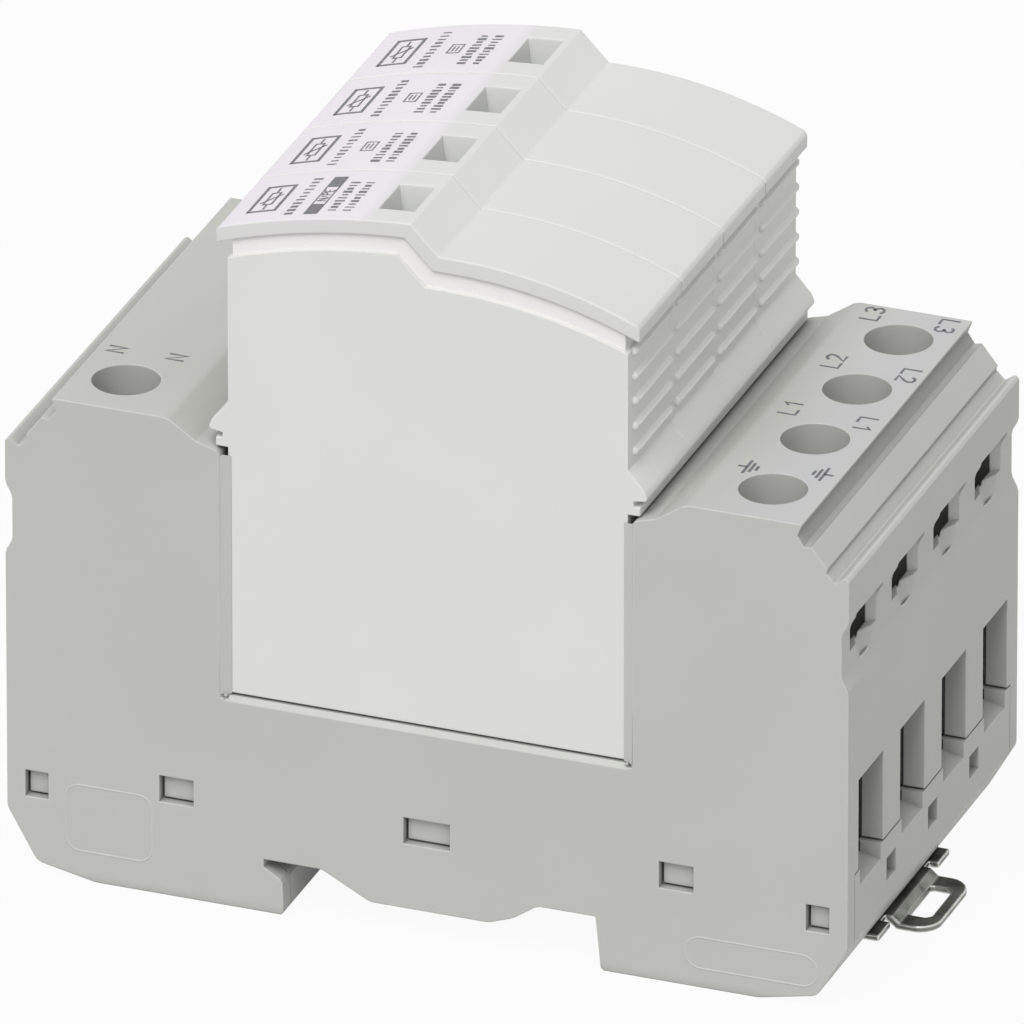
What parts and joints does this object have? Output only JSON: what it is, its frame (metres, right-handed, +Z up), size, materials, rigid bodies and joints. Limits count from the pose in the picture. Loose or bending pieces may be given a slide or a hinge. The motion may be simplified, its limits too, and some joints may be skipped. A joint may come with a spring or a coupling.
{
  "type": "surge protective device",
  "caption": "Rail mounted surge protective device: a grey terminal base with pull-out white protection plugs, screw clamp terminals and a spring foot latch.",
  "frame": {"origin": "over the middle of the 35 mm rail, on the plane where the rail flanges bear, midway between the long side faces", "axes": "+X along the device, across the rail, towards the terminals for the lines; +Y along the rail; +Z up, the way the plugs pull out"},
  "size_m": [0.0923, 0.0492, 0.0791],
  "materials": {
    "housing_grey": "light grey moulded polyamide, fine matt texture",
    "plug_white": "off-white moulded thermoplastic, satin",
    "cap_white": "off-white moulded cap, satin, with a pale label area",
    "zinc_steel": "bright zinc plated sheet steel",
    "terminal_steel": "zinc plated steel",
    "copper_bar": "bare copper strip",
    "tinned_contact": "tin plated copper alloy",
    "varistor_coating": "blue epoxy coating",
    "tube_ceramic": "ceramic tube in a moulded holder",
    "status_flag": "green and red indicator strip"
  },
  "bodies": {
    "base": {"housing_shell": "housing_grey", "base_tray": "housing_grey", "busbar_n": "copper_bar", "busbar_pe": "copper_bar", "busbar_l1": "copper_bar", "busbar_l2": "copper_bar", "busbar_l3": "copper_bar", "contact_left_1": "tinned_contact", "contact_right_1": "tinned_contact", "contact_left_2": "tinned_contact", "contact_right_2": "tinned_contact", "contact_left_3": "tinned_contact", "contact_right_3": "tinned_contact", "contact_left_4": "tinned_contact", "contact_right_4": "tinned_contact"},
    "latch": {"latch_foot": "zinc_steel"},
    "screw_n": {"clamp_screw_n": "terminal_steel"},
    "cage_n": {"clamp_cage_n": "terminal_steel"},
    "screw_pe": {"clamp_screw_pe": "terminal_steel"},
    "cage_pe": {"clamp_cage_pe": "terminal_steel"},
    "screw_l1": {"clamp_screw_l1": "terminal_steel"},
    "cage_l1": {"clamp_cage_l1": "terminal_steel"},
    "screw_l2": {"clamp_screw_l2": "terminal_steel"},
    "cage_l2": {"clamp_cage_l2": "terminal_steel"},
    "screw_l3": {"clamp_screw_l3": "terminal_steel"},
    "cage_l3": {"clamp_cage_l3": "terminal_steel"},
    "plug_1": {"plug_body_1": "plug_white", "plug_cap_1": "cap_white", "blade_left_1": "tinned_contact", "blade_right_1": "tinned_contact", "gas_tube_1": "tube_ceramic"},
    "flag_1": {"status_flag_1": "status_flag"},
    "plug_2": {"plug_body_2": "plug_white", "plug_cap_2": "cap_white", "blade_left_2": "tinned_contact", "blade_right_2": "tinned_contact", "varistor_2": "varistor_coating"},
    "flag_2": {"status_flag_2": "status_flag"},
    "plug_3": {"plug_body_3": "plug_white", "plug_cap_3": "cap_white", "blade_left_3": "tinned_contact", "blade_right_3": "tinned_contact", "varistor_3": "varistor_coating"},
    "flag_3": {"status_flag_3": "status_flag"},
    "plug_4": {"plug_body_4": "plug_white", "plug_cap_4": "cap_white", "blade_left_4": "tinned_contact", "blade_right_4": "tinned_contact", "varistor_4": "varistor_coating"},
    "flag_4": {"status_flag_4": "status_flag"}
  },
  "joints": [
    {"name": "latch_slide", "type": "slide", "parent": "base", "child": "latch", "axis": [1, 0, 0], "range_m": [0, 0.0035], "stiffness_N_per_m": 600},
    {"name": "cage_lift_n", "type": "slide", "parent": "base", "child": "cage_n", "axis": [0, 0, 1], "range_m": [0, 0.0065]},
    {"name": "screw_turn_n", "type": "hinge", "parent": "base", "child": "screw_n", "pos_m": [-0.0345, -0.018, 0.03], "axis": [0, 0, 1], "range_deg": [-2926, 0]},
    {"name": "cage_lift_pe", "type": "slide", "parent": "base", "child": "cage_pe", "axis": [0, 0, 1], "range_m": [0, 0.0065]},
    {"name": "screw_turn_pe", "type": "hinge", "parent": "base", "child": "screw_pe", "pos_m": [0.0345, -0.018, 0.03], "axis": [0, 0, 1], "range_deg": [-2926, 0]},
    {"name": "cage_lift_l1", "type": "slide", "parent": "base", "child": "cage_l1", "axis": [0, 0, 1], "range_m": [0, 0.0065]},
    {"name": "screw_turn_l1", "type": "hinge", "parent": "base", "child": "screw_l1", "pos_m": [0.0345, -0.006, 0.03], "axis": [0, 0, 1], "range_deg": [-2926, 0]},
    {"name": "cage_lift_l2", "type": "slide", "parent": "base", "child": "cage_l2", "axis": [0, 0, 1], "range_m": [0, 0.0065]},
    {"name": "screw_turn_l2", "type": "hinge", "parent": "base", "child": "screw_l2", "pos_m": [0.0345, 0.006, 0.03], "axis": [0, 0, 1], "range_deg": [-2926, 0]},
    {"name": "cage_lift_l3", "type": "slide", "parent": "base", "child": "cage_l3", "axis": [0, 0, 1], "range_m": [0, 0.0065]},
    {"name": "screw_turn_l3", "type": "hinge", "parent": "base", "child": "screw_l3", "pos_m": [0.0345, 0.018, 0.03], "axis": [0, 0, 1], "range_deg": [-2926, 0]},
    {"name": "plug_pull_1", "type": "slide", "parent": "base", "child": "plug_1", "axis": [0, 0, 1], "range_m": [0, 0.045]},
    {"name": "flag_trip_1", "type": "slide", "parent": "plug_1", "child": "flag_1", "axis": [1, 0, 0], "range_m": [0, 0.0046]},
    {"name": "plug_pull_2", "type": "slide", "parent": "base", "child": "plug_2", "axis": [0, 0, 1], "range_m": [0, 0.045]},
    {"name": "flag_trip_2", "type": "slide", "parent": "plug_2", "child": "flag_2", "axis": [1, 0, 0], "range_m": [0, 0.0046]},
    {"name": "plug_pull_3", "type": "slide", "parent": "base", "child": "plug_3", "axis": [0, 0, 1], "range_m": [0, 0.045]},
    {"name": "flag_trip_3", "type": "slide", "parent": "plug_3", "child": "flag_3", "axis": [1, 0, 0], "range_m": [0, 0.0046]},
    {"name": "plug_pull_4", "type": "slide", "parent": "base", "child": "plug_4", "axis": [0, 0, 1], "range_m": [0, 0.045]},
    {"name": "flag_trip_4", "type": "slide", "parent": "plug_4", "child": "flag_4", "axis": [1, 0, 0], "range_m": [0, 0.0046]}
  ],
  "couplings": [
    {"joint": "screw_turn_n", "follows": "cage_lift_n", "rad_per_m": -7854},
    {"joint": "screw_turn_pe", "follows": "cage_lift_pe", "rad_per_m": -7854},
    {"joint": "screw_turn_l1", "follows": "cage_lift_l1", "rad_per_m": -7854},
    {"joint": "screw_turn_l2", "follows": "cage_lift_l2", "rad_per_m": -7854},
    {"joint": "screw_turn_l3", "follows": "cage_lift_l3", "rad_per_m": -7854}
  ]
}
